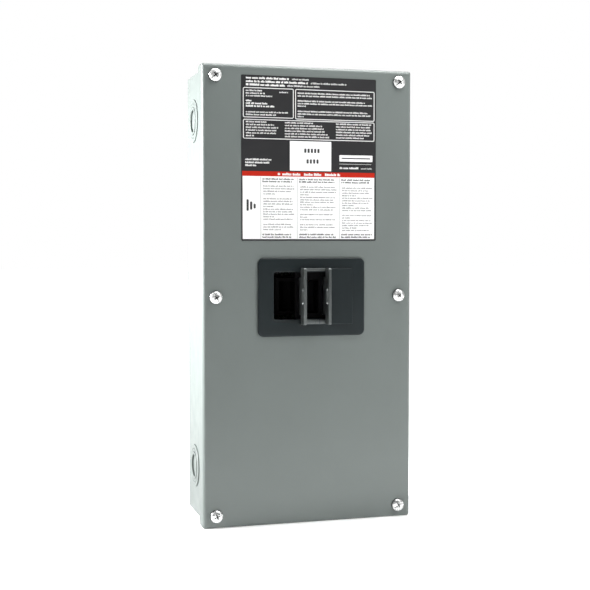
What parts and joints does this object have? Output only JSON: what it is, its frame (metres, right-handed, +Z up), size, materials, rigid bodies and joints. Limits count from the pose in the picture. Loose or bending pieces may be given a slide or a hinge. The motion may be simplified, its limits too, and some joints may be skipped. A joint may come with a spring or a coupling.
{
  "type": "circuit breaker enclosure",
  "caption": "Surface-mount steel breaker enclosure with screw-on cover and sliding handle operator over a recessed two-pole main breaker.",
  "frame": {"origin": "on the floor under the middle of the whole object's box, the operator's fins included", "axes": "+Z up, the cover faces -Y, +X to the right seen from the front"},
  "size_m": [0.219, 0.1154, 0.4605],
  "materials": {
    "grey_enamel": "satin grey baked enamel",
    "black_plastic": "satin, fine grain",
    "plated_steel": "dull plated",
    "zinc_plate": "bright zinc",
    "moulded_case": "moulded thermoset",
    "copper": "satin",
    "tin_plate": "satin",
    "label_print": "printed film"
  },
  "bodies": {
    "enclosure": {"breaker_base": "moulded_case", "breaker_case": "moulded_case", "enclosure_box": "grey_enamel", "ground_bar": "tin_plate", "ground_screw_1": "zinc_plate", "ground_screw_2": "zinc_plate", "ground_screw_3": "zinc_plate", "ground_screw_4": "zinc_plate", "line_block": "moulded_case", "line_lug_1": "tin_plate", "line_lug_2": "tin_plate", "line_lug_screw_1": "zinc_plate", "line_lug_screw_2": "zinc_plate", "line_strap_1": "copper", "line_strap_2": "copper", "load_block": "moulded_case", "load_lug_1": "tin_plate", "load_lug_2": "tin_plate", "load_lug_screw_1": "zinc_plate", "load_lug_screw_2": "zinc_plate", "load_strap_1": "copper", "load_strap_2": "copper", "mounting_pan": "zinc_plate", "neutral_bar": "tin_plate", "neutral_base": "moulded_case", "neutral_screw_1": "zinc_plate", "neutral_screw_2": "zinc_plate", "neutral_screw_3": "zinc_plate", "neutral_screw_4": "zinc_plate", "pan_screw_1": "zinc_plate", "pan_screw_2": "zinc_plate", "pan_screw_3": "zinc_plate", "pan_screw_4": "zinc_plate", "toggle_pin": "zinc_plate"},
    "cover": {"cover": "grey_enamel", "cover_label": "label_print", "cover_screw_1": "zinc_plate", "cover_screw_2": "zinc_plate", "cover_screw_3": "zinc_plate", "cover_screw_4": "zinc_plate", "cover_screw_5": "zinc_plate", "cover_screw_6": "zinc_plate", "escutcheon": "black_plastic"},
    "handle": {"operator_yoke": "plated_steel", "shutter_plate": "black_plastic", "slide_retainer": "moulded_case"},
    "toggle": {"toggle": "moulded_case"},
    "contacts": {"contact_arm_1": "copper", "contact_arm_2": "copper", "crossbar": "moulded_case"}
  },
  "joints": [
    {"name": "cover_lift", "type": "slide", "parent": "enclosure", "child": "cover", "axis": [0, -1, 0], "range_m": [0, 0.12]},
    {"name": "handle_slide", "type": "slide", "parent": "cover", "child": "handle", "axis": [1, 0, 0], "range_m": [-0.025, 0]},
    {"name": "toggle_swing", "type": "hinge", "parent": "enclosure", "child": "toggle", "pos_m": [-0.0085, 0.0073, 0.23], "axis": [0, 0, 1], "range_deg": [-44.1, 0]},
    {"name": "contact_swing", "type": "hinge", "parent": "enclosure", "child": "contacts", "pos_m": [-0.0211, 0.0253, 0.23], "axis": [0, 0, 1], "range_deg": [-14.1, 0]}
  ],
  "couplings": [
    {"joint": "toggle_swing", "follows": "handle_slide", "rad_per_m": 30.718},
    {"joint": "contact_swing", "follows": "handle_slide", "rad_per_m": 9.7738}
  ]
}
